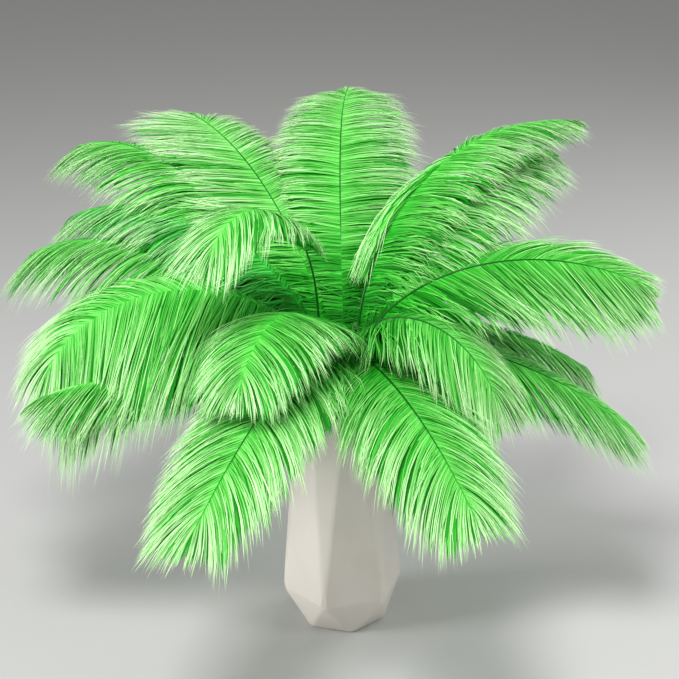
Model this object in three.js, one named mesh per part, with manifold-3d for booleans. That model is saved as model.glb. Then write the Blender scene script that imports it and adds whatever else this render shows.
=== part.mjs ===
// Green ostrich feathers standing in a faceted ceramic vase.
// Millimetres, +Z up, front of the bunch towards -Y, origin at the middle of the vase's foot.
import * as THREE from 'three';
import { ConvexGeometry } from 'three/addons/geometries/ConvexGeometry.js';
import { mergeVertices } from 'three/addons/utils/BufferGeometryUtils.js';
import Module from 'manifold-3d';

const wasm = await Module();
wasm.setup();

// ---- Vase: three hexagons, each turned half a side from the one below ----
const VASE_HEIGHT = 226;
const FOOT_RADIUS = 34.5; // to the corners of the hexagon
const SHOULDER_RADIUS = 49;
const SHOULDER_HEIGHT = 30.5;
const RIM_RADIUS = 33.5;
const HEXAGON_SIDES = 6;
const CORNER_TURN = 60; // degrees from one corner of a hexagon to the next
const VASE_TURN = 12; // degrees, of a foot corner from the front
const WALL = 4;
const FLOOR = 6;
const ABOVE_RIM = 1; // how far the hollow is cut past the rim

// ---- Shafts ----
const SHAFT_RADIUS = 1.5; // at the quill
const SHAFT_TIP_RADIUS = 0.6;
const SEAT_RADIUS = 21; // ring of shafts in the mouth of the vase
const QUILL_RADIUS = 17; // ring of quill ends on the floor of the vase
const QUILL_BEND = 26; // length over which a shaft turns out at the mouth
const BARE_LENGTH = 34; // of the shaft between the mouth and the first barbs
const SWAY_EASE = 1.5; // how late a shaft turns sideways
const ROLLED_BY = 0.8; // share of the shaft over which a plume turns about it
const GAP = 0.3; // clear space between two pieces

// ---- Barbs ----
const EDGE_THICKNESS = 1.4; // of a plume at the tips of its barbs
const FOOT_BARB = 0.4; // length of a barb at the foot of the vane, as a share of the longest
const EARLY_GROWTH = 0.1; // share of the shaft by which the growth to full length starts early
const TIP_SHORTER = 0.7; // what barbs lose in length towards the tip of the shaft
const SPREAD_LOSS = 0.2; // how evenly the barbs close up to the shaft along it
const TIP_CLOSING = 0.35; // how much more they close up close to its tip
const TIP_POWER = 4; // how late both of these come
const CURL_IN = 0.15; // bend of a barb back towards the shaft
const CURL_ON = 0.25; // bend of a barb towards the tip of the shaft

// ---- Facets ----
const LINE_STEPS = 60; // of a shaft's middle line
const BEND_STATIONS = [0, 8, 16]; // rings round the bend, in mm from the mouth
const NECK = 24; // the last ring before the blade opens, in mm from the mouth
const VANE_STEPS = 8;
const SHAFT_STEPS = 8;
const SHAFT_SIDES = 5;
const BLADE_SIDES = 6; // points round a rib: one above and one below the shaft, two at each edge
const BACK_COLUMNS = [2, 5]; // of a blade's six columns of faces, folded the other way
const WELD = 1e-4;

// One feather.  turn: degrees from the front towards +X; lean and droop: degrees from upright
// where the shaft leaves the mouth and at its tip; ease: how late it bends; length: of the
// shaft outside the vase; sway: sideways turn of the tip, degrees; roll: turn of the plume
// about its shaft, degrees; sag: how far the barbs hang, as a share of their length; spread:
// degrees between the lowest barbs and the shaft; barbs: the longest on the two sides.
const plume = (turn, lean, droop, ease, length, more) => ({
  turn, lean, droop, ease, length, sway: 0, roll: 0, sag: 0.5, spread: 68, barbs: [72, 72], ...more,
});

// Round the mouth of the vase in order of turn.
const FEATHERS = [
  plume(24, 48, 113, 0.3, 242, { sway: -6, sag: 0.25, barbs: [80, 72], spread: 62 }),
  plume(53, 5, 156, 0.8, 174, { sag: 0.45, barbs: [62, 62] }),
  plume(81, 27, 126, 0.3, 230, { sway: 5, sag: 0.35, barbs: [70, 70] }),
  plume(94, 2, 117, 0.55, 256, { sway: -3, roll: 36, sag: 0.34, barbs: [80, 68] }),
  plume(111, 30, 126, 0.3, 226, { sway: 8, roll: 12, barbs: [66, 66] }),
  plume(122, 8, 90, 0.76, 246, { sway: 7 }),
  plume(128, 30, 120, 0.6, 210, { sag: 0.4, barbs: [70, 70] }),
  plume(134, -5, 99, 0.78, 299, { sway: -29, sag: 0.4, barbs: [76, 76] }),
  plume(160, 40, 125, 0.6, 230, { sag: 0.4 }),
  plume(182, 20, 92, 1.05, 292, { sway: -8, sag: 0.1, barbs: [86, 80], spread: 80 }),
  plume(194, 40, 125, 0.6, 230, { sag: 0.4 }),
  plume(212, 25, 86, 0.95, 270, { sag: 0.26, barbs: [76, 94], spread: 76 }),
  plume(233, 42, 109, 1.8, 312, { sway: -5, barbs: [74, 74] }),
  plume(243, 22, 114, 0.9, 268, { sway: -4, barbs: [66, 66] }),
  plume(254, 55, 119, 1.7, 272, { sway: -12, sag: 0.65 }),
  plume(274, 35, 152, 1, 254, { sway: -11, roll: -46, barbs: [80, 84] }),
  plume(278, 77, 105, 0.3, 224, { sway: -2, sag: 0.55, barbs: [56, 56] }),
  plume(312, 0, 156, 2.3, 212, { sway: 6, sag: 0.25, barbs: [58, 58], spread: 72 }),
  plume(330, 4, 132, 0.75, 188, { sway: 15, sag: 0.4, barbs: [63, 68], spread: 82 }),
  plume(338, 30, 118, 0.3, 256, { sway: -2, sag: 0.2, barbs: [76, 70], spread: 62 }),
];

const glazed = new THREE.MeshStandardMaterial({ color: 0xe6dfd8, roughness: 0.35, metalness: 0 });
const dyed = new THREE.MeshStandardMaterial({ color: 0x3fd046, roughness: 0.85, metalness: 0 });
const { degToRad: radians, lerp, smoothstep } = THREE.MathUtils;
const up = new THREE.Vector3(0, 0, 1);

// A closed geometry as a solid for cutting and joining.
function solid(geometry) {
  geometry.deleteAttribute('normal');
  geometry.deleteAttribute('uv');
  const merged = mergeVertices(geometry, WELD);
  return new wasm.Manifold(new wasm.Mesh({
    numProp: 3,
    vertProperties: new Float32Array(merged.attributes.position.array),
    triVerts: new Uint32Array(merged.index.array),
  }));
}

// A solid as a named mesh.
function piece(name, body, material) {
  const mesh = body.getMesh();
  const geometry = new THREE.BufferGeometry();
  geometry.setAttribute('position', new THREE.BufferAttribute(mesh.vertProperties, 3));
  geometry.setIndex(new THREE.BufferAttribute(mesh.triVerts, 1));
  geometry.computeVertexNormals();
  const made = new THREE.Mesh(geometry, material.clone());
  made.name = name;
  return made;
}

// A point at a radius and height, at an angle from the front towards +X.
const onRing = (radius, angle, height) =>
  new THREE.Vector3(radius * Math.sin(angle), -radius * Math.cos(angle), height);

// The corners of a level hexagon.
const hexagon = (radius, height, turn) => Array.from({ length: HEXAGON_SIDES }, (_, corner) =>
  onRing(radius, radians(turn + corner * CORNER_TURN), height));

// The body that three hexagons span, set in from the outside by a wall.
function facetedBody(wall, bottom, top) {
  return solid(new ConvexGeometry([
    ...hexagon(FOOT_RADIUS - wall, bottom, VASE_TURN),
    ...hexagon(SHOULDER_RADIUS - wall, SHOULDER_HEIGHT, VASE_TURN + CORNER_TURN / 2),
    ...hexagon(RIM_RADIUS - wall, top, VASE_TURN),
  ]));
}

function vase() {
  return facetedBody(0, 0, VASE_HEIGHT).subtract(facetedBody(WALL, FLOOR, VASE_HEIGHT + ABOVE_RIM));
}

// The turn of a feather's outward direction, at a share of its length.
const turnAt = (feather, share) => radians(feather.turn + feather.sway * share ** SWAY_EASE);
const shaftRadius = (share) => lerp(SHAFT_RADIUS, SHAFT_TIP_RADIUS, share);

// The middle line of a feather's shaft: its quill end, and points at even steps from the
// mouth of the vase to the tip.
function shaftLine(feather, seat) {
  const stand = Math.atan2(SEAT_RADIUS - QUILL_RADIUS, VASE_HEIGHT - FLOOR);
  const step = feather.length / LINE_STEPS;
  const line = [onRing(SEAT_RADIUS, seat, VASE_HEIGHT)];
  for (let i = 0; i < LINE_STEPS; i += 1) {
    const share = (i + 0.5) / LINE_STEPS;
    const out = radians(lerp(feather.lean, feather.droop, share ** feather.ease));
    const tilt = lerp(stand, out, smoothstep(share * feather.length, 0, QUILL_BEND));
    const ahead = onRing(Math.sin(tilt), turnAt(feather, share), Math.cos(tilt));
    line.push(line[i].clone().addScaledVector(ahead, step));
  }
  return { line, step, quill: onRing(QUILL_RADIUS, seat, FLOOR + GAP) };
}

// Place and axes on the shaft at a distance from the mouth: along it, across it, and towards
// its underside.  Below the mouth the shaft is straight.
function frameAt(feather, shaft, distance) {
  const place = Math.max(distance, 0) / shaft.step;
  const index = Math.min(Math.floor(place), LINE_STEPS - 1);
  const [a, b] = shaft.line.slice(index, index + 2);
  const along = (distance < 0 ? a.clone().sub(shaft.quill) : b.clone().sub(a)).normalize();
  const point = a.clone().lerp(b, place - index).addScaledVector(along, Math.min(distance, 0));
  const share = Math.max(distance, 0) / feather.length;
  const side = turnAt(feather, share);
  const across = new THREE.Vector3(Math.cos(side), Math.sin(side), 0);
  across.applyAxisAngle(along, radians(feather.roll) * smoothstep(share, 0, ROLLED_BY));
  return { point, along, across, under: across.clone().cross(along).normalize(), share };
}

// A point on the pair of barbs that leave the shaft at a distance: side runs from -1, the tip
// of the one barb, to 1, the tip of the other.
function barbPoint(feather, shaft, distance, side) {
  const { point, along, across, share } = frameAt(feather, shaft, distance);
  const growth = Math.sin(Math.PI * Math.min(share + EARLY_GROWTH, 0.5));
  const nearTip = share ** TIP_POWER;
  const longest = feather.barbs[side < 0 ? 0 : 1];
  const reach = longest * lerp(FOOT_BARB, 1, growth) * (1 - TIP_SHORTER * nearTip);
  const spread = radians(feather.spread * (1 - SPREAD_LOSS * share - TIP_CLOSING * nearTip));
  const far = Math.abs(side);
  const out = Math.sign(side) * reach * Math.sin(spread) * (far - CURL_IN * far ** 2);
  return point
    .addScaledVector(across, out)
    .addScaledVector(along, reach * Math.cos(spread) * (far + CURL_ON * far ** 2))
    .addScaledVector(up, -feather.sag * reach * far ** 2);
}

// A capped tube with its points moved to where place(distance, angle) puts them; the middle
// of a cap has no angle.
function sweep(sides, distances, place) {
  const rows = distances.length - 1;
  const tube = new THREE.CylinderGeometry(1, 1, 1, sides, rows);
  const { position } = tube.attributes;
  for (let i = 0; i < position.count; i += 1) {
    const station = Math.round((position.getY(i) + 0.5) * rows);
    const [x, z] = [position.getX(i), position.getZ(i)];
    const middle = Math.hypot(x, z) < 0.5;
    const at = place(distances[station], middle ? null : Math.atan2(x, z));
    position.setXYZ(i, at.x, at.y, at.z);
  }
  if (sides === BLADE_SIDES) matchFolds(tube.index.array, rows);
  return solid(tube);
}

// Turns the diagonals of two of a blade's six columns of faces, so that its upper and lower
// faces are folded along the same lines and can't pass through each other.
function matchFolds(corners, rows) {
  for (const column of BACK_COLUMNS) {
    for (let row = 0; row < rows; row += 1) {
      const at = 6 * (column * rows + row);
      const [a, b, d, , c] = corners.slice(at, at + 5);
      corners.set([a, b, c, a, c, d], at);
    }
  }
}

// Distances along the shaft, closer together where it bends; grow moves both its ends and the
// start of the blade outwards.
function stations(feather, shaft, steps, grow) {
  const quillEnd = -shaft.line[0].distanceTo(shaft.quill);
  const distances = [quillEnd - grow, ...BEND_STATIONS, NECK - 3 * grow];
  for (let i = 0; i <= steps; i += 1) {
    distances.push(lerp(BARE_LENGTH, feather.length, i / steps));
  }
  distances[distances.length - 1] += grow;
  return distances;
}

function aboutShaft(frame, angle, radius) {
  if (angle === null) return frame.point;
  return frame.point.addScaledVector(frame.across, radius * Math.sin(angle))
    .addScaledVector(frame.under, radius * Math.cos(angle));
}

// The shaft from quill end to tip, as a tube.
function shaftBody(feather, shaft, grow) {
  return sweep(SHAFT_SIDES, stations(feather, shaft, SHAFT_STEPS, grow), (distance, angle) => {
    const frame = frameAt(feather, shaft, distance);
    return aboutShaft(frame, angle, shaftRadius(frame.share) + grow);
  });
}

// The whole feather as one thin body: the shaft, and a blade out to the tips of the barbs.
// grow makes it thicker and wider all round.
function plumeBody(feather, shaft, grow) {
  return sweep(BLADE_SIDES, stations(feather, shaft, VANE_STEPS, grow), (distance, angle) => {
    const frame = frameAt(feather, shaft, distance);
    const radius = shaftRadius(frame.share) + grow;
    const overShaft = angle === null || Math.abs(Math.sin(angle)) < 0.1;
    if (distance < BARE_LENGTH || overShaft) return aboutShaft(frame, angle, radius);
    const side = Math.sign(angle);
    const edge = barbPoint(feather, shaft, distance, side);
    const rib = edge.clone().sub(frame.point).normalize();
    const ahead = barbPoint(feather, shaft, distance + 1, side).sub(edge);
    const under = rib.clone().cross(ahead).normalize();
    const thick = (EDGE_THICKNESS / 2 + grow) * Math.sign(Math.cos(angle)) * side;
    const back = distance === BARE_LENGTH ? -2 * grow : 0;
    return edge.addScaledVector(rib, grow).addScaledVector(under, thick)
      .addScaledVector(frame.along, back);
  });
}

// The largest of the separate bodies in a solid.
function largest(body) {
  return body.decompose().reduce((a, b) => (a.volume() > b.volume() ? a : b));
}

// Each feather, cut back where the ones before it lie and round the shafts of all others.
function feathers() {
  const all = FEATHERS.map((feather, index) => {
    const seat = radians((360 / FEATHERS.length) * (index + 0.5));
    const shaft = shaftLine(feather, seat);
    return {
      shaftRoom: shaftBody(feather, shaft, GAP),
      plume: plumeBody(feather, shaft, 0),
      plumeRoom: plumeBody(feather, shaft, GAP),
    };
  });
  return all.map((own, index) => {
    let body = own.plume;
    all.forEach((other, place) => {
      if (place < index) body = body.subtract(other.plumeRoom);
      if (place !== index) body = body.subtract(other.shaftRoom);
    });
    return largest(body);
  });
}

const group = new THREE.Group();
group.add(piece('vase', vase(), glazed));
feathers().forEach((body, index) => {
  group.add(piece(`feather_${String(index + 1).padStart(2, '0')}`, body, dyed));
});

export default group;
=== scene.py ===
"""Dyed ostrich plumes standing in a faceted ceramic vase.

Metres, +Z up, the front of the bunch towards -Y.  Every plume is one shaft and about 700 to 1800
barbs, which grow in two soft, drooping rows and gather in locks towards their tips.
"""

from __future__ import annotations

import logging
import math
from dataclasses import dataclass, field
from enum import Enum

import bmesh
import bpy
import numpy as np
from mathutils import Matrix, Vector

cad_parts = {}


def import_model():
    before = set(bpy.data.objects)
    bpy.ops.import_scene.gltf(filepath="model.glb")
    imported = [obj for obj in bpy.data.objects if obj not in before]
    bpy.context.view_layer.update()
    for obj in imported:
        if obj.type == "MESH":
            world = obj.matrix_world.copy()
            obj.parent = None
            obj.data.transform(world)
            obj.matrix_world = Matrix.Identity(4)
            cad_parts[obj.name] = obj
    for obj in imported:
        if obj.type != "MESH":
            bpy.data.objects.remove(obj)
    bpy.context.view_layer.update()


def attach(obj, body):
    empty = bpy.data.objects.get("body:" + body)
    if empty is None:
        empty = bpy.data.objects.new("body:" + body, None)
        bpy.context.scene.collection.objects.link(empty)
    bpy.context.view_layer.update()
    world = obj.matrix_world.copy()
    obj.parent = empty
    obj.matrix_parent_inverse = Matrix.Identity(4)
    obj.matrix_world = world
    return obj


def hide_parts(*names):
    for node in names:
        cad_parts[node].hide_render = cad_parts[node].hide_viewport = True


LOG = logging.getLogger("plumes")
BODY = "root"
BAKE_MAP = "OFBake"
UP = np.array([0.0, 0.0, 1.0])

Colour = tuple[float, float, float]
Pair = tuple[float, float]


# ---------------------------------------------------------------- small helpers


def smooth(value: np.ndarray, low: float, high: float) -> np.ndarray:
    """A smooth step from 0 at low to 1 at high."""
    t = np.clip((value - low) / (high - low), 0.0, 1.0)
    return t * t * (3.0 - 2.0 * t)


def blend(low: float, high: float, part: np.ndarray) -> np.ndarray:
    """Values from low, where the part is 0, to high, where it is 1."""
    return low + (high - low) * part


def column(values: np.ndarray) -> np.ndarray:
    """One value for each barb, as a column beside its points."""
    return values[:, None]


def unit(vectors: np.ndarray) -> np.ndarray:
    """The vectors along the last axis at length 1."""
    return vectors / np.maximum(np.linalg.norm(vectors, axis=-1, keepdims=True), 1e-12)


def on_ring(radius: np.ndarray | float, angle: np.ndarray | float, height) -> np.ndarray:
    """Points at a radius and height, at an angle from the front towards +X."""
    return np.stack(np.broadcast_arrays(radius * np.sin(angle), -radius * np.cos(angle), height), -1)


def object_from(name: str, mesh: bpy.types.Mesh) -> bpy.types.Object:
    """Puts a mesh in the scene.

    Args:
        name: the new object's name.
        mesh: the mesh that it wears.

    Returns:
        The object.
    """
    made = bpy.data.objects.new(name, mesh)
    bpy.context.scene.collection.objects.link(made)
    return made


# ---------------------------------------------------------------- finishes


class Shade:
    """A material's node tree, built up node by node."""

    def __init__(self, name: str) -> None:
        """Starts a material with one Principled shader.

        Args:
            name: the material's name.
        """
        self.material = bpy.data.materials.new(name)
        self.material.use_nodes = True
        self.tree = self.material.node_tree
        self.surface = self.tree.nodes["Principled BSDF"]

    def node(self, kind: str, **settings) -> bpy.types.Node:
        """A new node with its settings and the values of its inputs.

        Args:
            kind: the node's type name.
            settings: attributes of the node, or inputs by name.

        Returns:
            The node.
        """
        made = self.tree.nodes.new(kind)
        for key, value in settings.items():
            if key in made.inputs:
                made.inputs[key].default_value = value
            else:
                setattr(made, key, value)
        return made

    def link(self, out: bpy.types.NodeSocket, into: bpy.types.NodeSocket) -> None:
        """Joins two sockets."""
        self.tree.links.new(out, into)

    def set(self, **values) -> None:
        """Sets the shader's own inputs, named with _ for a blank."""
        for key, value in values.items():
            self.surface.inputs[key.replace("_", " ")].default_value = value

    def ramp(self, source: bpy.types.NodeSocket, stops: list[tuple[float, Colour]]) -> bpy.types.Node:
        """A colour ramp over a value.

        Args:
            source: the value's socket.
            stops: places from 0 to 1 and their colours.

        Returns:
            The ramp's node.
        """
        made = self.node("ShaderNodeValToRGB")
        elements = made.color_ramp.elements
        while len(elements) < len(stops):
            elements.new(0.5)
        for element, (place, colour) in zip(elements, stops, strict=True):
            element.position = place
            element.color = (*colour, 1.0)
        self.link(source, made.inputs["Fac"])
        return made

    def span(self, source: bpy.types.NodeSocket, ends: Pair) -> bpy.types.Node:
        """A value from 0 to 1 spread between two others.

        Args:
            source: the value's socket.
            ends: what 0 and 1 become.

        Returns:
            The node, whose Result is the new value.
        """
        made = self.node("ShaderNodeMapRange")
        made.inputs["To Min"].default_value, made.inputs["To Max"].default_value = ends
        self.link(source, made.inputs["Value"])
        return made


@dataclass(frozen=True)
class Dye:
    """The dye of a plume's barbs, from the shaft out to their tips.

    stops: where along a barb the middle and the pale colour stand.  strength: how strong the
    colour is in the deepest and the lightest barbs.  The tone that picks a colour also carries
    painted shade: deeper green near the mouth, towards a plume's foot and on the down.
    """

    name: str
    deep: Colour = (0.003, 0.21, 0.003)
    middle: Colour = (0.018, 0.44, 0.014)
    pale: Colour = (0.18, 0.69, 0.12)
    tip: Colour = (0.57, 0.88, 0.44)
    stops: Pair = (0.3, 0.68)
    strength: Pair = (0.72, 1.12)
    roughness: float = 0.6
    gloss: float = 0.15
    sheen: float = 0.05
    sheen_roughness: float = 0.45
    sheen_tint: Colour = (0.75, 1.0, 0.7)

    def material(self) -> bpy.types.Material:
        """The material, whose pattern follows each barb's own attributes.

        Returns:
            The material.
        """
        shade = Shade(self.name)
        tone = shade.node("ShaderNodeAttribute", attribute_name="tone")
        light = shade.node("ShaderNodeAttribute", attribute_name="light")
        middle, pale = self.stops
        stops = [(0.0, self.deep), (middle, self.middle), (pale, self.pale), (1.0, self.tip)]
        ramp = shade.ramp(tone.outputs["Fac"], stops)
        strength = shade.span(light.outputs["Fac"], self.strength)
        vary = shade.node("ShaderNodeHueSaturation")
        shade.link(strength.outputs["Result"], vary.inputs["Value"])
        shade.link(ramp.outputs["Color"], vary.inputs["Color"])
        shade.link(vary.outputs["Color"], shade.surface.inputs["Base Color"])
        shade.set(Roughness=self.roughness, Specular_IOR_Level=self.gloss, Sheen_Weight=self.sheen)
        shade.set(Sheen_Roughness=self.sheen_roughness, Sheen_Tint=(*self.sheen_tint, 1.0))
        return shade.material


@dataclass(frozen=True)
class Quill:
    """The horny shaft: pale where it leaves the vase, dark green along the plume.

    foot_end: where along the shaft the foot's colour ends.  stem_span: between which shares of
    it the stem's colour lies.
    """

    name: str = "quill_green"
    foot: Colour = (0.36, 0.50, 0.26)
    stem: Colour = (0.006, 0.10, 0.008)
    end: Colour = (0.030, 0.40, 0.022)
    foot_end: float = 0.02
    stem_span: Pair = (0.07, 0.7)
    roughness: float = 0.38
    gloss: float = 0.4

    def material(self) -> bpy.types.Material:
        """The material, which changes along the shaft.

        Returns:
            The material.
        """
        shade = Shade(self.name)
        tone = shade.node("ShaderNodeAttribute", attribute_name="tone")
        low, high = self.stem_span
        foot = [(0.0, self.foot), (self.foot_end, self.foot)]
        ramp = shade.ramp(tone.outputs["Fac"], [*foot, (low, self.stem), (high, self.stem), (1.0, self.end)])
        shade.link(ramp.outputs["Color"], shade.surface.inputs["Base Color"])
        shade.set(Roughness=self.roughness, Specular_IOR_Level=self.gloss)
        return shade.material


@dataclass(frozen=True)
class Glaze:
    """Satin off-white glaze over fired clay.

    stops: where in the mottle the thin and the full glaze stand.  roughness: where the mottle
    is lowest and highest.
    """

    name: str = "satin_glaze"
    body: Colour = (0.73, 0.68, 0.62)
    thin: Colour = (0.69, 0.64, 0.58)
    mottle_scale: float = 26.0
    mottle_detail: float = 4.0
    stops: Pair = (0.3, 0.55)
    roughness: Pair = (0.28, 0.42)
    ripple_scale: float = 160.0
    ripple_detail: float = 2.0
    ripple_strength: float = 0.06
    ripple_height: float = 0.001
    coat: float = 0.25
    coat_roughness: float = 0.25

    def material(self) -> bpy.types.Material:
        """The material, mottled where the glaze lies thinner.

        Returns:
            The material.
        """
        shade = Shade(self.name)
        place = shade.node("ShaderNodeTexCoord")
        mottle = shade.node("ShaderNodeTexNoise", Scale=self.mottle_scale, Detail=self.mottle_detail)
        ripple = shade.node("ShaderNodeTexNoise", Scale=self.ripple_scale, Detail=self.ripple_detail)
        for noise in (mottle, ripple):
            shade.link(place.outputs["Object"], noise.inputs["Vector"])
        thin, full = self.stops
        ramp = shade.ramp(mottle.outputs["Fac"], [(thin, self.thin), (full, self.body)])
        shade.link(ramp.outputs["Color"], shade.surface.inputs["Base Color"])
        rough = shade.span(mottle.outputs["Fac"], self.roughness)
        shade.link(rough.outputs["Result"], shade.surface.inputs["Roughness"])
        bump = shade.node("ShaderNodeBump", Strength=self.ripple_strength, Distance=self.ripple_height)
        shade.link(ripple.outputs["Fac"], bump.inputs["Height"])
        shade.link(bump.outputs["Normal"], shade.surface.inputs["Normal"])
        shade.set(Coat_Weight=self.coat, Coat_Roughness=self.coat_roughness)
        return shade.material


# ---------------------------------------------------------------- vase


@dataclass
class Vase:
    """A six-sided vase: three hexagons, each turned half a side from the one below.

    Radii run to the corners.  turn: of a foot corner from the front, in degrees.  lip: how far
    below the rim the wall reaches its thickness.  edge: how far the edges are rounded off.
    crease: the angle in degrees from which an edge is sharp.
    """

    sides: int = 6
    height: float = 0.226
    foot_radius: float = 0.0345
    shoulder_radius: float = 0.049
    shoulder_height: float = 0.0305
    rim_radius: float = 0.0335
    turn: float = 12.0
    wall: float = 0.004
    floor: float = 0.006
    lip: float = 0.003
    edge: float = 0.0022
    edge_steps: int = 3
    crease: float = 24.0
    flat_angle: float = 0.01
    glaze: Glaze = field(default_factory=Glaze)

    @property
    def half_turn(self) -> float:
        """Half the turn from one corner to the next, in degrees."""
        return 180.0 / self.sides

    def build(self) -> bpy.types.Object:
        """Builds the vase and dresses it.

        Returns:
            The vase's object.
        """
        shape = self._body()
        top = max(shape.faces, key=lambda f: f.calc_center_median().z)
        bmesh.ops.inset_region(shape, faces=[top], thickness=self.wall - self.edge, use_even_offset=True)
        floor = bmesh.ops.extrude_discrete_faces(shape, faces=[top])["faces"][0]
        self._sink(shape, floor)
        bmesh.ops.recalc_face_normals(shape, faces=shape.faces)
        mesh = bpy.data.meshes.new("vase_glazed")
        shape.to_mesh(mesh)
        shape.free()
        made = object_from("vase_glazed", mesh)
        mesh.shade_smooth()
        mesh.set_sharp_from_angle(angle=math.radians(self.crease))
        mesh.materials.append(self.glaze.material())
        return made

    def _body(self) -> bmesh.types.BMesh:
        """The solid that the three hexagons span, with its edges rounded off.

        Returns:
            The solid.
        """
        shape = bmesh.new()
        rings = (
            (self.foot_radius, 0.0, self.turn),
            (self.shoulder_radius, self.shoulder_height, self.turn + self.half_turn),
            (self.rim_radius, self.height, self.turn),
        )
        for radius, height, turn in rings:
            for corner in range(self.sides):
                shape.verts.new(on_ring(radius, math.radians(turn + 2 * self.half_turn * corner), height))
        bmesh.ops.convex_hull(shape, input=shape.verts)
        bmesh.ops.dissolve_limit(shape, angle_limit=self.flat_angle, verts=shape.verts, edges=shape.edges)
        bmesh.ops.bevel(
            shape, geom=list(shape.edges), offset=self.edge, affect="EDGES", segments=self.edge_steps,
            profile=0.5, material=-1,
        )
        return shape

    def _sink(self, shape: bmesh.types.BMesh, floor: bmesh.types.BMFace) -> None:
        """Lowers the mouth's face in steps that follow the outside, to hollow the vase.

        Args:
            shape: the vase so far, solid.
            floor: the face inside the rim.
        """
        narrowest = self.shoulder_radius * math.cos(math.radians(self.half_turn))
        levels = (
            (self.height - self.lip, self.rim_radius - self.wall),
            (self.shoulder_height, narrowest - self.wall),
            (self.floor, self.foot_radius - self.wall),
        )
        for height, radius in levels:
            made = bmesh.ops.extrude_face_region(shape, geom=[floor])["geom"]
            bmesh.ops.delete(shape, geom=[floor], context="FACES_ONLY")
            floor = next(g for g in made if isinstance(g, bmesh.types.BMFace))
            widest = max(math.hypot(v.co.x, v.co.y) for v in floor.verts)
            for vert in floor.verts:
                vert.co.x *= radius / widest
                vert.co.y *= radius / widest
                vert.co.z = height


# ---------------------------------------------------------------- plumes


@dataclass(frozen=True)
class MapLayout:
    """Where shafts and barbs lie on the map, as shares of its width and height.

    A shaft lies in a strip along the lower edge, by its tone: strip is the strip's lower and
    upper edge, and shaft where it starts and how far it runs.  foot_width and cap are the size
    of its first ring's face and of its two end faces.  A barb lies above the strip: tone_start
    and tone_span place its tone along the map, and light places its light up it.  ring is how
    far the points round a barb stand apart, so that every face has width.
    """

    strip: Pair = (0.01, 0.05)
    shaft: Pair = (0.02, 0.96)
    foot_width: float = 0.01
    cap: Pair = (0.005, 0.02)
    tone_start: float = -0.9
    tone_span: float = 2.6
    light: Pair = (0.1, 0.85)
    ring: Pair = (0.003, 0.004)


LAYOUT = MapLayout()


class DyeName(Enum):
    """The dyes that the plumes wear."""

    BRIGHT = "dye_bright"
    COOL = "dye_cool"


@dataclass(frozen=True)
class PlumeShape:
    """How one plume grows and hangs; angles in degrees, sizes in metres.

    turn: from the front towards +X.  lean, droop: from upright, where the shaft leaves the
    mouth and at its tip.  ease: how late it bends.  length: of the shaft outside the vase.
    sway: sideways turn of the tip.  roll: turn of the plume about its shaft.  sag: how far the
    barbs hang, as a share of their length.  spread: between the lowest barbs and the shaft.
    barbs: the longest on the two sides.  hang: more or less sag on the two sides.  sweep:
    more or less spread on them.  narrow: how much shorter the barbs get towards the tip.
    bare: of the shaft outside the vase, with no barbs.  fold: the share of the shaft about
    which a folded right row's loose ends lie, and the share at which the fold ends.  frizz:
    how curly the barbs are.  cover: how far the barbs' roots stand over the shaft, at its foot
    and at its tip.  tone: how much paler the whole plume is; for the fifth plume it is painted
    shade and for the sixth painted light.  dye: which dye it wears.
    """

    turn: float
    lean: float
    droop: float
    ease: float
    length: float
    sway: float = 0.0
    roll: float = 0.0
    sag: float = 0.5
    spread: float = 68.0
    barbs: Pair = (0.072, 0.072)
    hang: Pair = (1.0, 1.0)
    sweep: Pair = (0.0, 0.0)
    narrow: float = 0.45
    bare: float = 0.005
    fold: Pair | None = None
    frizz: float = 1.0
    cover: Pair = (-0.0007, -0.0002)
    tone: float = 0.0
    dye: DyeName = DyeName.BRIGHT


@dataclass
class Places:
    """Places on a shaft: points, axes and shares of its length."""

    point: np.ndarray
    along: np.ndarray
    across: np.ndarray
    under: np.ndarray
    share: np.ndarray


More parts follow.
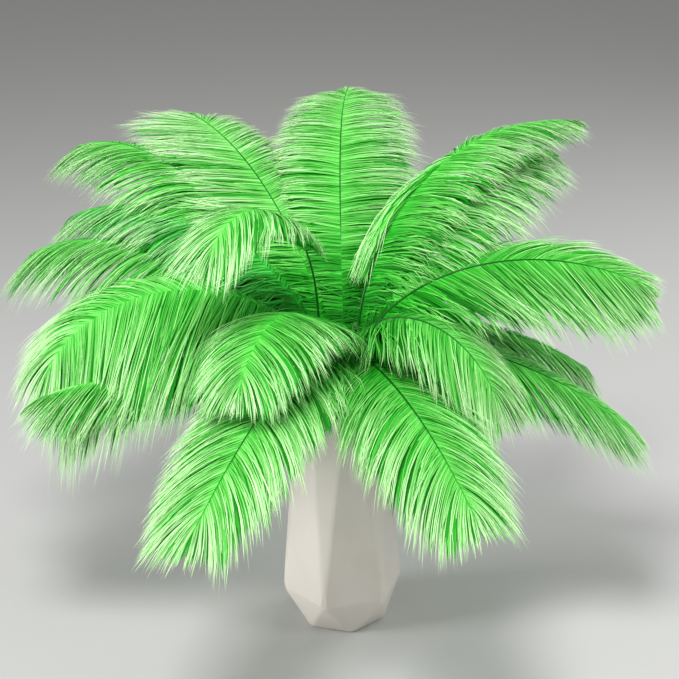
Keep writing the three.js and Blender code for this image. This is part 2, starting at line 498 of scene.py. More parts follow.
@dataclass
class Shaft:
    """The middle line of a plume, from its quill end on the vase's floor to its tip.

    seat: the quill's place round the mouth, in radians.  seat_radius, quill_radius: of the
    rings that the quills make in the mouth and on the floor.  bend: the length over which a
    shaft turns out at the mouth.  taper: how late it thins.  sway_ease: how late it turns
    sideways.  rolled_by: the share of it over which the plume rolls about it.
    """

    shape: PlumeShape
    seat: float
    radius: float = 0.0012
    tip_radius: float = 0.0003
    seat_radius: float = 0.021
    quill_radius: float = 0.017
    mouth: float = 0.226
    floor: float = 0.0063
    bend: float = 0.026
    taper: float = 1.5
    sway_ease: float = 1.5
    rolled_by: float = 0.8
    steps: int = 60
    sides: int = 8

    def __post_init__(self) -> None:
        """Works out the line of points and its directions."""
        shape = self.shape
        stand = math.atan2(self.seat_radius - self.quill_radius, self.mouth - self.floor)
        share = (np.arange(self.steps) + 0.5) / self.steps
        out = np.radians(shape.lean + (shape.droop - shape.lean) * share**shape.ease)
        tilt = stand + (out - stand) * smooth(share * shape.length, 0.0, self.bend)
        ahead = on_ring(np.sin(tilt), self.turn_at(share), np.cos(tilt))
        start = on_ring(self.seat_radius, self.seat, self.mouth)
        self.step = shape.length / self.steps
        self.line = np.vstack([start, start + np.cumsum(ahead * self.step, axis=0)])
        self.ways = unit(np.gradient(self.line, axis=0))
        self.quill = on_ring(self.quill_radius, self.seat, self.floor)

    def turn_at(self, share: np.ndarray) -> np.ndarray:
        """The turn of the plume's outward direction, in radians, at a share of its length."""
        return np.radians(self.shape.turn + self.shape.sway * share**self.sway_ease)

    def places(self, distance: np.ndarray) -> Places:
        """Places at distances from the mouth, up to a little past the tip.

        Args:
            distance: distances along the shaft, in metres, from 0.

        Returns:
            The places.
        """
        steps = distance / self.step
        low = np.clip(steps.astype(int), 0, self.steps - 1)
        part = column(steps - low)
        point = self.line[low] * (1 - part) + self.line[low + 1] * part
        along = unit(self.ways[low] * (1 - part) + self.ways[low + 1] * part)
        share = distance / self.shape.length
        side = self.turn_at(share)
        across = np.stack([np.cos(side), np.sin(side), np.zeros_like(side)], -1)
        across = unit(across - along * np.sum(across * along, -1, keepdims=True))
        roll = column(math.radians(self.shape.roll) * smooth(share, 0.0, self.rolled_by))
        across = across * np.cos(roll) + np.cross(along, across) * np.sin(roll)
        return Places(point, along, across, unit(np.cross(across, along)), share)

    def build(self, name: str) -> bpy.types.Object:
        """Draws the shaft out as a tapering round rod.

        Args:
            name: the object's name.

        Returns:
            The shaft's object, with its tone attribute.
        """
        out = self.places(np.linspace(0.0, self.shape.length, self.steps // 2 + 1))
        points = np.vstack([self.quill, out.point])
        ways = np.vstack([unit(self.line[0] - self.quill), out.along])
        across = np.vstack([out.across[0], out.across])
        under = np.vstack([out.under[0], out.under])
        share = np.concatenate([[0.0], out.share])
        rod = bmesh.new()
        tone = rod.verts.layers.float.new("tone")
        ring = bmesh.ops.create_circle(rod, cap_ends=True, segments=self.sides, radius=1.0)["verts"]
        flat = [v.co.copy() for v in ring]
        face = rod.faces[:][0]
        for at in range(len(points)):
            if at:
                made = bmesh.ops.extrude_face_region(rod, geom=[face])["geom"]
                if at > 1:
                    bmesh.ops.delete(rod, geom=[face], context="FACES_ONLY")
                face = next(g for g in made if isinstance(g, bmesh.types.BMFace))
                ring = [g for g in made if isinstance(g, bmesh.types.BMVert)]
                flat = self._ordered(ring, points[at - 1], across[at - 1], under[at - 1])
            size = blend(self.tip_radius, self.radius, (1 - share[at]) ** self.taper)
            for vert, spot in zip(ring, flat, strict=True):
                vert.co = Vector(points[at] + size * (spot.x * across[at] + spot.y * under[at]))
                vert[tone] = share[at]
        bmesh.ops.recalc_face_normals(rod, faces=rod.faces)
        mesh = bpy.data.meshes.new(name)
        rod.to_mesh(mesh)
        rod.free()
        self._lay_out(mesh)
        return object_from(name, mesh)

    @staticmethod
    def _lay_out(mesh: bpy.types.Mesh) -> None:
        """Lays the rod's faces in the map's strip, by their tone.

        Args:
            mesh: the rod, with its tone attribute.
        """
        spots = mesh.uv_layers.new(name=BAKE_MAP).uv
        tones = mesh.attributes["tone"].data
        start, run = LAYOUT.shaft
        low, high = LAYOUT.strip
        for face in mesh.polygons:
            at = [start + run * tones[v].value for v in face.vertices]
            if len(at) > 4:
                width, height = LAYOUT.cap
                turns = [2 * math.pi * i / len(at) for i in range(len(at))]
                middle = (low + high) / 2
                places = [(at[0] + width * math.cos(a), middle + height * math.sin(a)) for a in turns]
            elif max(at) == min(at):
                right = at[0] + LAYOUT.foot_width
                places = [(at[0], low), (right, low), (right, high), (at[0], high)]
            elif at[0] == at[1]:
                places = list(zip(at, (low, high, high, low), strict=True))
            else:
                places = list(zip(at, (low, low, high, high), strict=True))
            for loop, place in zip(face.loop_indices, places, strict=True):
                spots[loop].vector = place

    @staticmethod
    def _ordered(ring: list, middle: np.ndarray, across: np.ndarray, under: np.ndarray) -> list[Vector]:
        """The flat places of a ring's points in the circle that they were copied from.

        Args:
            ring: the points.
            middle: the ring's middle.
            across: the way across the shaft there.
            under: the way to its underside.

        Returns:
            A place on the circle of radius 1 for each point.
        """
        spots = []
        for vert in ring:
            off = np.array(vert.co) - middle
            spots.append(Vector((float(off @ across), float(off @ under), 0.0)).normalized())
        return spots


class Side(Enum):
    """The two rows of barbs of a plume."""

    LEFT = 0
    RIGHT = 1

    @property
    def sign(self) -> float:
        """The direction across the shaft."""
        return -1.0 if self is Side.LEFT else 1.0


@dataclass
class Barbs:
    """Middle lines and widths of many barbs, one row for each.

    faces_up: the way that each barb's ridge faces.  light, tone: how strong and how pale its
    colour is.  ridge: half a barb's thickness at its sides, as a share of half its width.
    """

    lines: np.ndarray
    widths: np.ndarray
    faces_up: np.ndarray
    light: np.ndarray
    tone: np.ndarray
    ridge: float = 0.16

    def mesh(self, name: str) -> bpy.types.Mesh:
        """Joins all the barbs in one mesh of closed, ridged, tapering strands.

        Args:
            name: the mesh's name.

        Returns:
            The mesh, with its attributes and its map.
        """
        count, steps, _ = self.lines.shape
        ways = unit(np.gradient(self.lines, axis=1))
        wide = unit(np.cross(ways, self.faces_up))
        high = np.cross(wide, ways)
        half = (self.widths / 2)[..., None]
        flat = half * self.ridge
        corners = [
            self.lines - wide * half - high * flat,
            self.lines + wide * half - high * flat,
            self.lines + high * flat * 2,
        ]
        ring = np.stack(corners, axis=2)[:, :-1].reshape(count, -1, 3)
        verts = np.concatenate([ring, self.lines[:, -1:]], axis=1)
        faces = self._faces(steps)
        each = verts.shape[1]
        all_faces = faces[None] + (np.arange(count) * each)[:, None, None]
        mesh = bpy.data.meshes.new(name)
        mesh.from_pydata(verts.reshape(-1, 3), [], all_faces.reshape(-1, 3))
        tone = np.repeat(self.tone[:, :-1], 3, axis=1)
        tone = np.concatenate([tone, self.tone[:, -1:]], axis=1)
        light = np.broadcast_to(self.light[:, None], tone.shape)
        for key, values in (("tone", tone), ("light", light)):
            made = mesh.attributes.new(key, "FLOAT", "POINT")
            made.data.foreach_set("value", values.ravel().astype(np.float32))
        spots = self._spots(tone, light)[all_faces.ravel()]
        mesh.uv_layers.new(name=BAKE_MAP).data.foreach_set("uv", spots.ravel().astype(np.float32))
        return mesh

    @staticmethod
    def _spots(tone: np.ndarray, light: np.ndarray) -> np.ndarray:
        """Places on the map that have one colour each: tone runs along it and light up it.

        Args:
            tone: the tone of each barb's points.
            light: the light of each barb's points.

        Returns:
            The points' places.
        """
        rings = tone.shape[1] // 3
        along = np.append(np.tile([0.0, 0.0, 1.0], rings), 0.0)
        up = np.append(np.tile([-1.0, 1.0, 0.0], rings), 0.0)
        u = (tone - LAYOUT.tone_start) / LAYOUT.tone_span + LAYOUT.ring[0] * along
        v = LAYOUT.light[0] + LAYOUT.light[1] * light + LAYOUT.ring[1] * up
        return np.stack([u, v], -1).reshape(-1, 2)

    @staticmethod
    def _faces(steps: int) -> np.ndarray:
        """The triangles of one strand with three sides, a flat root and a pointed tip.

        Args:
            steps: how many points its middle line has.

        Returns:
            Three points for each triangle.
        """
        found = [(0, 1, 2)]
        for at in range(0, 3 * (steps - 2), 3):
            for side in range(3):
                a, b = at + side, at + (side + 1) % 3
                found += [(a, a + 3, b), (b, a + 3, b + 3)]
        last = 3 * (steps - 2)
        found += [(last + side, last + 3, last + (side + 1) % 3) for side in range(3)]
        return np.array(found)


@dataclass(frozen=True)
class Layer:
    """How one layer of barbs grows: the pale strands above, or the deeper down below.

    spacing: between two barbs.  steps: points along a barb.  lock, tuft: the least and greatest
    size of the bundles that barbs gather in from their middle and at their tips.  gather,
    tuft_gather: how closely.  reach: the barbs' length, as a share of the plume's.  depth: how
    far the layer lies below the shaft.  light: how strong its colour is; the down's low light
    is painted shade under the strands.  shadow: painted shade, how much deeper green the
    layer is made.  stray: how freely its barbs stray.
    """

    spacing: float
    width: float
    steps: int
    lock: Pair
    gather: float
    tuft: Pair
    tuft_gather: float
    reach: float
    depth: float
    light: float
    shadow: float
    stray: float


STRANDS = Layer(
    spacing=0.00046, width=0.00056, steps=7, lock=(0.0008, 0.0016), gather=0.9, tuft=(0.0022, 0.0045),
    tuft_gather=0.34, reach=1.0, depth=0.0, light=0.62, shadow=0.0, stray=1.0,
)
# The down's low light and its shadow paint shade under the strands: it is made a deeper green than they are.
DOWN = Layer(
    spacing=0.0013, width=0.0024, steps=6, lock=(0.002, 0.004), gather=0.1, tuft=(0.0022, 0.005),
    tuft_gather=0.2, reach=0.9, depth=0.0012, light=0.25, shadow=0.38, stray=0.3,
)


@dataclass(frozen=True)
class Habit:
    """How the barbs of every plume grow and stray.

    Lengths are in metres, angles in radians, and places along a shaft or a barb in shares of it
    unless they are named a distance.  A value for a lock, a tuft or a barb is how far one
    differs from the next.  A value for a wave is its height, and a pair of waves its lengths.
    """

    # Places.
    slot: Pair = (0.2, 0.8)
    downy_distance: Pair = (0.025, 0.105)
    # Painted shade near the mouth fades out over these distances along the shaft.
    mouth_shade_distance: Pair = (0.0, 0.11)
    near_tip: int = 4  # how late the closeness to a plume's tip comes
    clip: float = 2.2  # the most that a lock differs, as a multiple of its spread

    # Length: grown and young are what the barbs at the foot have of the full length.
    grown: float = 0.4
    grown_early: float = 0.1
    young: float = 0.7
    young_distance: float = 0.035
    end_loss: float = 0.5
    end_start: float = 0.88
    lock_length: float = 0.05
    barb_length: float = 0.04
    wave_length: float = 0.05
    length_waves: Pair = (0.05, 0.023)

    # Angle to the shaft.
    closing: float = 0.2
    tip_closing: float = 0.5
    last_closing: float = 0.75
    last_start: float = 0.9
    lock_angle: float = 0.042
    wave_angle: float = 0.05
    angle_waves: Pair = (0.06, 0.03)
    downy_lock_angle: float = 0.16
    downy_wave_angle: float = 0.12
    downy_waves: Pair = (0.03, 0.013)

    # Sag.
    tuft_sag: float = 0.035
    tuft_sag_most: float = 0.1
    lock_sag: float = 0.06
    wave_sag: float = 0.05
    sag_waves: Pair = (0.07, 0.028)
    barb_sag: float = 0.02

    # Course of a barb.
    curl_in: float = 0.15
    curl_on: float = 0.25
    gathered: Pair = (0.1, 0.8)
    tufted: Pair = (0.45, 1.0)
    splay: float = 0.0004
    splay_share: Pair = (0.2, 1.0)
    splayed: Pair = (0.75, 1.0)
    lock_end: float = 0.0022
    barb_end: float = 0.0006
    downy_end: float = 0.005
    lock_bow: float = 0.0010
    tip_drop: Pair = (0.0, 0.1)
    tip_bend: int = 5  # how late the outermost bend of a barb comes
    barb_puff: float = 0.0006
    covered: Pair = (0.0, 0.25)
    downy_frizz: float = 3.5
    curl: float = 0.0003
    lock_curl: float = 0.0004
    curl_across: float = 0.6
    curl_start: Pair = (0.0, 6.3)
    curl_turns: Pair = (6.0, 13.0)

    # Width and colour.
    root_width: float = 1.05
    tip_width_loss: float = 0.35
    last_width_loss: float = 0.2
    barb_width: Pair = (0.75, 1.2)
    lock_light: float = 0.12
    barb_light: float = 0.19
    root_tone: float = 0.14
    barb_tone: float = 0.62
    # Painted shade: how much paler barbs get from a plume's shaded foot out to its tip.
    foot_shade_tone: float = 0.30
    light_tone: float = 0.62
    # Painted shade: how much deeper green the barbs are made near the mouth.
    mouth_shade_tone: float = 0.4


@dataclass(frozen=True)
class Fold:
    """How a folded row lies back along the shaft, in one narrow bundle with a loose end.

    start: where the row starts, as a multiple of the share about which its ends lie.  ends: how
    far those ends stray from it, as multiples.  half_width: half the share over which the fold
    ends.  length: the least and greatest of a folded barb.  kept: what it keeps of it.  across,
    lift: how far barbs lie beside and over the shaft, from across_by and lift_by along them.
    loose: how far their ends stray, past loose_from.  tone: how much paler the bundle is.
    """

    start: float = 1.25
    ends: Pair = (0.75, 1.25)
    half_width: float = 0.03
    length: Pair = (0.004, 0.1)
    kept: Pair = (0.85, 1.0)
    across: Pair = (0.0006, 0.0155)
    across_by: float = 0.5
    loose: float = 0.0030
    loose_from: float = 0.6
    lift: Pair = (0.0004, 0.0045)
    lift_by: float = 0.3
    tone: float = 0.2


@dataclass
class Roots:
    """Where the barbs of one row stand on the shaft, and what they gather in.

    at: distances along the shaft.  lock, tuft: the bundle of each barb.  centre, tuft_centre:
    the bundles' middles.  within: a barb's place in its lock, from -1 to 1.  places: the roots'
    points and axes.  far: the shares of a barb's length at its points.  downy: how downy a barb
    is.  near_tip: how close it stands to the plume's tip.
    """

    side: Side
    layer: Layer
    start: float
    at: np.ndarray
    lock: np.ndarray
    centre: np.ndarray
    within: np.ndarray
    tuft: np.ndarray
    tuft_centre: np.ndarray
    places: Places
    far: np.ndarray
    downy: np.ndarray
    near_tip: np.ndarray

    @property
    def count(self) -> int:
        """How many barbs the row has."""
        return len(self.at)


@dataclass
class Vane:
    """The barbs of a plume, row by row.

    The random draws follow one another in a fixed order, so each plume is the same every time.
    """

    shaft: Shaft
    seed: int
    habit: Habit = field(default_factory=Habit)
    fold: Fold = field(default_factory=Fold)

    def __post_init__(self) -> None:
        """Starts the plume's own random draws."""
        self.draw = np.random.default_rng(self.seed)

    def wave(self, place: np.ndarray, lengths: Pair) -> np.ndarray:
        """A slow random wave along the shaft, mostly within -1 to 1.

        Args:
            place: distances along the shaft.
            lengths: the lengths of the waves that it is made of.

        Returns:
            Its height at each place.
        """
        total = np.zeros_like(place)
        for length in lengths:
            phase = self.draw.uniform(0, 2 * math.pi)
            total += np.sin(place * 2 * math.pi / length + phase)
        return total / len(lengths)

    def bundles(self, root: np.ndarray, sizes: Pair) -> tuple[np.ndarray, ...]:
        """Gathers roots along the shaft in bundles of random sizes.

        Args:
            root: the barbs' distances along the shaft, rising.
            sizes: the least and greatest size of a bundle.

        Returns:
            Each barb's bundle, the bundle's middle, and the barb's place in it from -1 to 1.
        """
        steps = np.cumsum(self.draw.uniform(*sizes, int((root[-1] - root[0]) / sizes[0]) + 2))
        edges = root[0] - 1e-6 + np.concatenate([[0.0], steps])
        which = np.searchsorted(edges, root) - 1
        middle = (edges[which] + edges[which + 1]) / 2
        return which, middle, (root - middle) / (edges[which + 1] - edges[which]) * 2

    def per_lock(self, roots: Roots, spread: float) -> np.ndarray:
        """A random value for each lock, handed to its barbs.

        Args:
            roots: the row.
            spread: how far locks differ.

        Returns:
            One value for each barb.
        """
        most = self.habit.clip * spread
        values = self.draw.normal(0, spread, roots.lock.max() + 1)
        return np.clip(values, -most, most)[roots.lock]

    def row(self, side: Side, layer: Layer) -> Barbs:
        """One row of barbs, gathered in locks.

        Args:
            side: which row.
            layer: which layer of it.

        Returns:
            The barbs.
        """
        shape, habit = self.shaft.shape, self.habit
        folded = shape.fold is not None and side is Side.RIGHT
        start = self.fold.start * shape.fold[0] * shape.length if folded else shape.bare
        roots = self._roots(side, layer, start)
        lines = self._lines(roots, self._reach(roots), self._spread(roots), self._sag(roots))
        fold_tone = np.zeros(roots.count)
        if folded:
            end, half = shape.fold[1], self.fold.half_width
            back = 1 - smooth(roots.places.share, end - half, end + half)
            lines += (self._strap(roots) - lines) * back[:, None, None]
            fold_tone = self.fold.tone * back
        taper = habit.root_width - habit.tip_width_loss * roots.far**2
        taper = taper * (1 - habit.last_width_loss * column(roots.near_tip))
        widths = layer.width * taper * column(self.draw.uniform(*habit.barb_width, roots.count))
        light = layer.light + (1 + roots.downy) * self.per_lock(roots, habit.lock_light)
        light = np.clip(light + self.draw.normal(0, habit.barb_light, roots.count), 0.0, 1.0)
        up = np.broadcast_to(-roots.places.under[:, None], lines.shape)
        return Barbs(lines, widths, up, light, self._tone(roots, light) + column(fold_tone))

    def _roots(self, side: Side, layer: Layer, start: float) -> Roots:
        """Sets out a row's barbs along the shaft.

        Args:
            side: which row.
            layer: which layer of it.
            start: the distance at which it starts.

        Returns:
            Where they stand.
        """
        habit = self.habit
        count = int((self.shaft.shape.length - start) / layer.spacing)
        at = start + layer.spacing * (np.arange(count) + self.draw.uniform(*habit.slot, count))
        lock, centre, within = self.bundles(at, layer.lock)
        tuft, tuft_centre, _ = self.bundles(at, layer.tuft)
        places = self.shaft.places(at)
        far = np.linspace(0, 1, layer.steps)[None, :]
        downy = 1 - smooth(at, *habit.downy_distance)
        near_tip = places.share**habit.near_tip
        return Roots(
            side, layer, start, at, lock, centre, within, tuft, tuft_centre, places, far, downy, near_tip
        )

    def _reach(self, roots: Roots) -> np.ndarray:
        """The barbs' lengths.

        Args:
            roots: the row.

        Returns:
            One length for each barb.
        """
        habit, shape, layer = self.habit, self.shaft.shape, roots.layer
        share = roots.places.share
        growth = blend(habit.grown, 1.0, np.sin(np.pi * np.minimum(share + habit.grown_early, 0.5)))
        young = smooth(roots.at, roots.start, roots.start + habit.young_distance)
        reach = layer.reach * shape.barbs[roots.side.value] * growth * blend(habit.young, 1.0, young)
        reach = reach * (1 - shape.narrow * roots.near_tip)
        reach = reach * (1 - habit.end_loss * smooth(share, habit.end_start, 1.0))
        change = 1 + self.per_lock(roots, habit.lock_length * layer.stray)
        change = change + self.draw.normal(0, habit.barb_length, roots.count)
        return reach * (change + habit.wave_length * self.wave(roots.at, habit.length_waves))

    def _spread(self, roots: Roots) -> np.ndarray:
        """The angles between the barbs and the shaft.

        Args:
            roots: the row.

        Returns:
            One angle for each barb, in radians.
        """
        habit, shape, stray = self.habit, self.shaft.shape, roots.layer.stray
        share = roots.places.share
        closing = habit.closing * share + habit.tip_closing * shape.narrow * roots.near_tip
        spread = np.radians((shape.spread + shape.sweep[roots.side.value]) * (1 - closing))
        spread = spread * (1 - habit.last_closing * smooth(share, habit.last_start, 1.0))
        spread = spread + self.per_lock(roots, habit.lock_angle * stray)
        spread = spread + habit.wave_angle * self.wave(roots.at, habit.angle_waves)
        loose = self.per_lock(roots, habit.downy_lock_angle * stray)
        loose = loose + habit.downy_wave_angle * self.wave(roots.at, habit.downy_waves)
        return spread + roots.downy * loose

    def _sag(self, roots: Roots) -> np.ndarray:
        """How far the barbs hang.

        Args:
            roots: the row.

        Returns:
            For each barb a share of its length.
        """
        habit, shape, stray = self.habit, self.shaft.shape, roots.layer.stray
        most = habit.tuft_sag_most
        tufts = np.clip(self.draw.normal(0, habit.tuft_sag, roots.tuft.max() + 1), -most, most)
        sag = shape.sag * shape.hang[roots.side.value] * (1 + self.per_lock(roots, habit.lock_sag))
        sag = sag + stray * tufts[roots.tuft] + habit.wave_sag * self.wave(roots.at, habit.sag_waves)
        return sag + stray * self.draw.normal(0, habit.barb_sag, roots.count)

    def _lines(self, roots: Roots, reach: np.ndarray, spread: np.ndarray, sag: np.ndarray) -> np.ndarray:
        """The barbs' middle lines.

        Args:
            roots: the row.
            reach: the barbs' lengths.
            spread: their angles to the shaft.
            sag: how far they hang.

        Returns:
            Points along each barb.
        """
        habit, shape, layer, draw = self.habit, self.shaft.shape, roots.layer, self.draw
        places, far, count, stray = roots.places, roots.far, roots.count, layer.stray
        out = column(roots.side.sign * reach * np.sin(spread)) * (far - habit.curl_in * far**2)
        on = column(reach * np.cos(spread)) * (far + habit.curl_on * far**2)
        on = on + column((roots.centre - roots.at) * layer.gather) * smooth(far, *habit.gathered)
        tufted = (roots.tuft_centre - roots.centre) * layer.tuft_gather
        on = on + column(tufted) * smooth(far, *habit.tufted)
        splay = roots.within * habit.splay * draw.uniform(*habit.splay_share, count)
        on = on + column(splay) * smooth(far, *habit.splayed)
        ends = self.per_lock(roots, habit.lock_end) + draw.normal(0, habit.barb_end, count)
        ends = stray * (ends + roots.downy * self.per_lock(roots, habit.downy_end))
        bow = stray * self.per_lock(roots, habit.lock_bow)
        on = on + column(bow) * far**2 + column(ends) * far**habit.tip_bend
        drop = reach * draw.uniform(*habit.tip_drop, count)
        down = column(sag * reach) * far**2 + column(drop) * far**habit.tip_bend
        puff = column(draw.normal(0, habit.barb_puff, count)) * np.sin(np.pi * far)
        cover = blend(*shape.cover, places.share)
        puff = puff + column(cover) * (1 - smooth(far, *habit.covered)) - layer.depth
        curl, turns = self._curl(roots)
        return (
            places.point[:, None]
            + places.across[:, None] * (out + habit.curl_across * curl * np.cos(turns))[..., None]
            + places.along[:, None] * (on + curl * np.sin(turns))[..., None]
            - places.under[:, None] * puff[..., None]
            - UP * down[..., None]
        )

    def _curl(self, roots: Roots) -> tuple[np.ndarray, np.ndarray]:
        """The small curls along the barbs, alike for the barbs of a lock.

        Args:
            roots: the row.

        Returns:
            The curls' radius and turn, at each point of each barb.
        """
        habit, locks = self.habit, roots.lock.max() + 1
        size = habit.curl + np.abs(self.per_lock(roots, habit.lock_curl))
        curl = column((self.shaft.shape.frizz + habit.downy_frizz * roots.downy) * size) * roots.far
        start = column(self.draw.uniform(*habit.curl_start, locks)[roots.lock])
        turns = column(self.draw.uniform(*habit.curl_turns, locks)[roots.lock])
        return curl, start + roots.far * turns

    def _tone(self, roots: Roots, light: np.ndarray) -> np.ndarray:
        """How pale the barbs are, at each of their points.

        Args:
            roots: the row.
            light: how strong each barb's colour is.

        Returns:
            The tones, from 0 for the deepest green to 1 for the palest.
        """
        habit, shadow = self.habit, roots.layer.shadow
        # The layer's shadow paints shade: the down is made deeper green under the strands.
        tone = self.shaft.shape.tone + habit.root_tone + (habit.barb_tone - shadow) * roots.far
        # Painted shade: barbs are made deeper green near a plume's foot and paler towards its tip.
        tone = tone + (habit.foot_shade_tone - shadow / 2) * column(roots.places.share)
        # Painted shade: barbs are made deeper green near the mouth, where the plumes crowd and shade one
        # another.
        hollow = habit.mouth_shade_tone * (1 - smooth(roots.at, *habit.mouth_shade_distance))
        return tone + column(habit.light_tone * (light - 0.5) - hollow)

    def _strap(self, roots: Roots) -> np.ndarray:
        """Barbs that lie back along the shaft in one narrow bundle with a loose end.

        Args:
            roots: the row.

        Returns:
            The barbs' middle lines.
        """
        draw, shape, fold = self.draw, self.shaft.shape, self.fold
        count, far = roots.count, roots.far
        end = shape.fold[0] * shape.length * draw.uniform(*fold.ends, count)
        reach = np.clip(roots.at - end, *fold.length) * draw.uniform(*fold.kept, count)
        at = self.shaft.places((column(roots.at) - column(reach) * far).ravel())
        off = column(draw.uniform(*fold.across, count)) * smooth(far, 0.0, fold.across_by)
        off = off + column(draw.normal(0, fold.loose, count)) * smooth(far, fold.loose_from, 1.0)
        lift = column(draw.uniform(*fold.lift, count)) * smooth(far, 0.0, fold.lift_by)
        middle = at.point + at.across * (roots.side.sign * off).reshape(-1, 1)
        return (middle - at.under * lift.reshape(-1, 1)).reshape(count, -1, 3)


@dataclass
class Plume:
    """A whole plume: its shaft and its two rows of barbs, one piece for one solid.

    index, total: its place among all plumes round the mouth.  crease: the angle in degrees from
    which a barb's edge is sharp.
    """

    shape: PlumeShape
    index: int
    total: int
    first_seed: int = 100
    crease: float = 60.0

    def build(self, dye: bpy.types.Material, quill: bpy.types.Material) -> bpy.types.Object:
        """Builds the plume and dresses it.

        Args:
            dye: the barbs' material.
            quill: the shaft's material.

        Returns:
            The plume's object.
        """
        shaft = Shaft(self.shape, seat=math.radians(360.0 / self.total * (self.index + 0.5)))
        rod = shaft.build(f"plume_{self.index + 1:02d}")
        rod.data.materials.append(quill)
        rod.data.shade_smooth()
        vane = Vane(shaft, seed=self.first_seed + self.index)
        parts = [rod]
        for side in Side:
            for layer in (STRANDS, DOWN):
                row = object_from("row", vane.row(side, layer).mesh("row"))
                row.data.materials.append(dye)
                row.data.shade_smooth()
                row.data.set_sharp_from_angle(angle=math.radians(self.crease))
                parts.append(row)
        with bpy.context.temp_override(active_object=rod, selected_editable_objects=parts):
            bpy.ops.object.join()
        return rod


# Round the mouth of the vase in order of turn.
PLUMES = (
    PlumeShape(
        24, 48, 113, 0.3, 0.242, sway=-6, sag=0.25, barbs=(0.080, 0.072), spread=62, narrow=0.62,
        bare=0.002,
    ),
    PlumeShape(53, 5, 156, 0.8, 0.174, sag=0.45, barbs=(0.062, 0.062), bare=0.004),
    PlumeShape(81, 27, 126, 0.3, 0.230, sway=5, sag=0.35, barbs=(0.070, 0.070), tone=-0.05),
    PlumeShape(
        94, 2, 117, 0.55, 0.256, sway=-3, roll=36, sag=0.30, barbs=(0.080, 0.068), sweep=(0, -24),
        narrow=0.75, tone=-0.04,
    ),
    # Plume 05: its lower tone is painted shade, deeper green where plumes 03 and 04 shade it.
    PlumeShape(
        111, 30, 126, 0.3, 0.226, sway=8, roll=12, barbs=(0.066, 0.066), narrow=0.65, tone=-0.06,
    ),
    # Plume 06: its higher tone is painted light, paler over the shadow that plume 08 casts on it.
    PlumeShape(122, 8, 90, 0.76, 0.246, sway=7, sag=0.55, narrow=0.65, frizz=2.5, tone=0.07),
    PlumeShape(128, 30, 120, 0.6, 0.210, sag=0.4, barbs=(0.070, 0.070)),
    PlumeShape(
        134, -5, 99, 0.78, 0.294, sway=-29, sag=0.4, barbs=(0.066, 0.056), narrow=0.8,
        fold=(0.2, 0.6), frizz=2.5, cover=(-0.0007, 0.0015),
    ),
    PlumeShape(160, 40, 125, 0.6, 0.230, sag=0.4),
    PlumeShape(
        182, 20, 92, 1.05, 0.292, sway=-8, sag=0.26, barbs=(0.086, 0.080), spread=86, narrow=0.42,
        cover=(0.0015, -0.0012), tone=0.1,
    ),
    PlumeShape(194, 40, 125, 0.6, 0.230, sag=0.4),
    PlumeShape(
        212, 25, 86, 0.95, 0.270, sag=0.26, barbs=(0.076, 0.094), hang=(1, 0.5), spread=80,
        narrow=0.2, cover=(0.0014, -0.001), tone=0.16,
    ),
    PlumeShape(233, 42, 109, 1.8, 0.312, sway=-5, barbs=(0.074, 0.074)),
    PlumeShape(
        243, 22, 114, 0.9, 0.268, sway=-4, barbs=(0.066, 0.066), frizz=1.6, cover=(0.0014, 0.0006),
        dye=DyeName.COOL,
    ),
    PlumeShape(254, 55, 119, 1.7, 0.272, sway=-12, sag=0.65),
    PlumeShape(
        274, 35, 152, 1.0, 0.254, sway=-11, roll=-46, barbs=(0.080, 0.100), sweep=(-12, 16),
        hang=(1, 0.95), cover=(0.0008, 0.0012), tone=0.05,
    ),
    PlumeShape(
        278, 77, 105, 0.3, 0.224, sway=-2, sag=0.55, barbs=(0.056, 0.056), cover=(0.0008, 0.0012),
    ),
    PlumeShape(
        312, 0, 156, 2.3, 0.212, sway=6, sag=0.36, barbs=(0.063, 0.064), spread=76,
        cover=(-0.0005, 0.0005), bare=0.095,
    ),
    PlumeShape(
        330, 4, 132, 0.75, 0.188, sway=15, sag=0.4, barbs=(0.063, 0.070), hang=(1, 0.6), spread=82,
        narrow=0.7, bare=0.006, cover=(0.0008, 0.0012), tone=-0.04,
    ),
    PlumeShape(
        338, 30, 118, 0.3, 0.256, sway=-2, sag=0.2, barbs=(0.076, 0.070), spread=62, bare=0.004,
        tone=0.03,
    ),
)


# ---------------------------------------------------------------- studio


@dataclass
class Lamp:
    """A soft rectangular lamp aimed at the bunch."""

    name: str
    place: tuple[float, float, float]
    size: float
    power: float

    def build(self, aim: Vector) -> None:
        """Hangs the lamp and turns it to a point.

        Args:
            aim: the point it faces.
        """
        data = bpy.data.lights.new(self.name, "AREA")
        data.size = self.size
        data.energy = self.power
        made = bpy.data.objects.new(self.name, data)
        made.location = self.place
        made.rotation_euler = (aim - Vector(self.place)).to_track_quat("-Z", "Y").to_euler()
        bpy.context.scene.collection.objects.link(made)


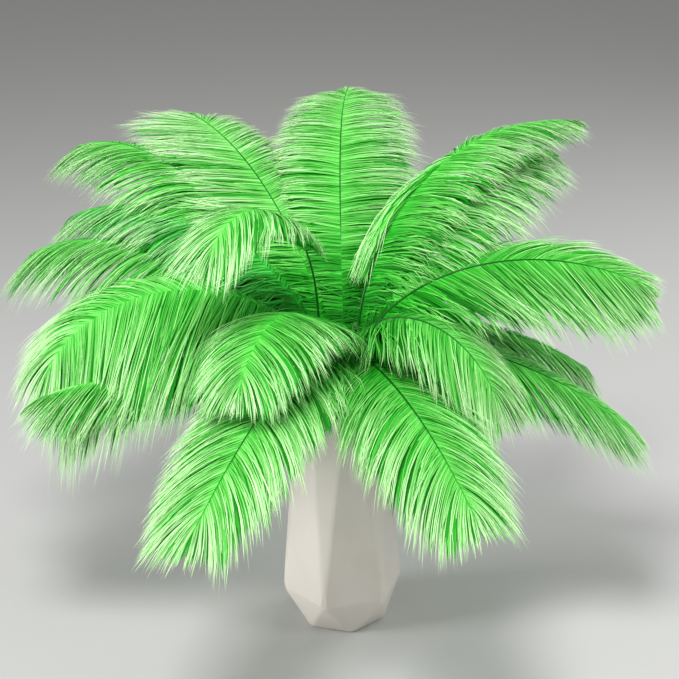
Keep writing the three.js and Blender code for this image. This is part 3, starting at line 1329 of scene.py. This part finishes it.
@dataclass
class Studio:
    """A pale floor, soft light and the camera."""

    target: tuple[float, float, float] = (0.00026, 0.0, 0.239)
    distance: float = 1.231
    pitch: float = 20.83
    tilt: float = -0.76
    lens: float = 85.0
    sensor: float = 36.0
    floor_size: float = 24.0
    floor_colour: Colour = (0.50, 0.50, 0.49)
    sky: float = 0.34
    lamps: tuple[Lamp, ...] = (
        Lamp("key", (-1.7, -0.45, 0.65), 0.6, 24.5),
        Lamp("top", (-0.2, -0.8, 1.7), 0.5, 24.0),
        Lamp("side", (1.6, -0.6, 1.0), 0.8, 10.0),
        Lamp("back", (1.3, 0.7, 1.0), 0.8, 10.0),
    )

    def build(self) -> None:
        """Lays the floor, hangs the lamps and sets the camera."""
        self._floor()
        for lamp in self.lamps:
            lamp.build(Vector(self.target))
        world = bpy.data.worlds.new("studio")
        world.use_nodes = True
        world.node_tree.nodes["Background"].inputs["Color"].default_value = (1.0, 1.0, 1.0, 1.0)
        world.node_tree.nodes["Background"].inputs["Strength"].default_value = self.sky
        bpy.context.scene.world = world
        bpy.context.scene.view_settings.view_transform = "Standard"
        self._camera()

    def _floor(self) -> None:
        """Lays a plain pale floor that stays out of the object."""
        shape = bmesh.new()
        bmesh.ops.create_grid(shape, x_segments=1, y_segments=1, size=self.floor_size / 2)
        mesh = bpy.data.meshes.new("floor")
        shape.to_mesh(mesh)
        shape.free()
        shade = Shade("floor_paint")
        shade.set(Base_Color=(*self.floor_colour, 1.0), Roughness=0.9)
        mesh.materials.append(shade.material)
        object_from("floor", mesh)

    def _camera(self) -> None:
        """Stands the camera where it looks a little down on the bunch."""
        data = bpy.data.cameras.new("camera")
        data.lens = self.lens
        data.sensor_width = self.sensor
        pitch, tilt = math.radians(self.pitch), math.radians(self.tilt)
        ahead = Vector((0.0, math.cos(pitch), -math.sin(pitch)))
        above = Vector((0.0, math.sin(pitch), math.cos(pitch)))
        right = Vector((1.0, 0.0, 0.0))
        x = right * math.cos(tilt) + above * math.sin(tilt)
        y = above * math.cos(tilt) - right * math.sin(tilt)
        turned = Matrix((x, y, -ahead)).transposed().to_4x4()
        made = bpy.data.objects.new("camera", data)
        made.matrix_world = Matrix.Translation(Vector(self.target) - ahead * self.distance) @ turned
        bpy.context.scene.collection.objects.link(made)
        bpy.context.scene.camera = made


# ---------------------------------------------------------------- the whole


def main() -> None:
    """Builds the vase, the plumes and the studio, and says what each piece is."""
    logging.basicConfig(level=logging.INFO, format="%(message)s")
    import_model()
    vase = Vase().build()
    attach(vase, BODY)
    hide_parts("vase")
    LOG.info("vase: %d faces", len(vase.data.polygons))
    cool = Dye(DyeName.COOL.value, middle=(0.018, 0.44, 0.026), pale=(0.135, 0.66, 0.135))
    dyes = {DyeName.BRIGHT: Dye(DyeName.BRIGHT.value).material(), DyeName.COOL: cool.material()}
    quill = Quill().material()
    total = 0
    for index, shape in enumerate(PLUMES):
        node = f"feather_{index + 1:02d}"
        plume = Plume(shape, index, len(PLUMES)).build(dyes[shape.dye], quill)
        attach(plume, BODY)
        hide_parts(node)
        total += len(plume.data.polygons)
        LOG.info("%s: %d faces", plume.name, len(plume.data.polygons))
    LOG.info("all plumes: %d faces", total)
    Studio().build()


if __name__ == "__main__":
    main()
